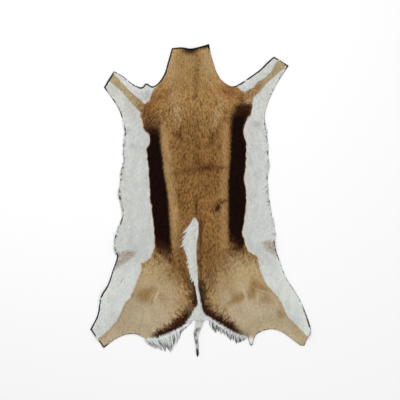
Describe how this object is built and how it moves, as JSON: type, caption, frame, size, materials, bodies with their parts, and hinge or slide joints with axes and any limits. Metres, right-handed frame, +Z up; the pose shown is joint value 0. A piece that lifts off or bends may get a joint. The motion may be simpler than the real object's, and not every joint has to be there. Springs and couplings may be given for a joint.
{
  "type": "springbok hide",
  "caption": "Flat tanned antelope hide, coat up, with legs, tail strip, dark side stripes, white belly rims and long white rump hair.",
  "frame": {"origin": "middle of the bounding box on the floor, under the lower back", "axes": "+Z up out of the coat, +Y along the spine towards the neck, +X across the hide, to the right when seen from above with the neck away from the viewer"},
  "size_m": [0.7714, 1.0954, 0.009],
  "materials": {
    "coat_fawn": "short smooth animal hair on suede leather",
    "coat_white": "long white animal hair",
    "coat_dark": "dark chocolate animal hair"
  },
  "bodies": {
    "root": {"hide": "coat_fawn", "rump_locks_left": "coat_white", "rump_locks_right": "coat_white", "belly_locks_left": "coat_white", "belly_locks_right": "coat_white", "back_fan": "coat_white", "tail_tuft": "coat_dark"}
  },
  "joints": []
}
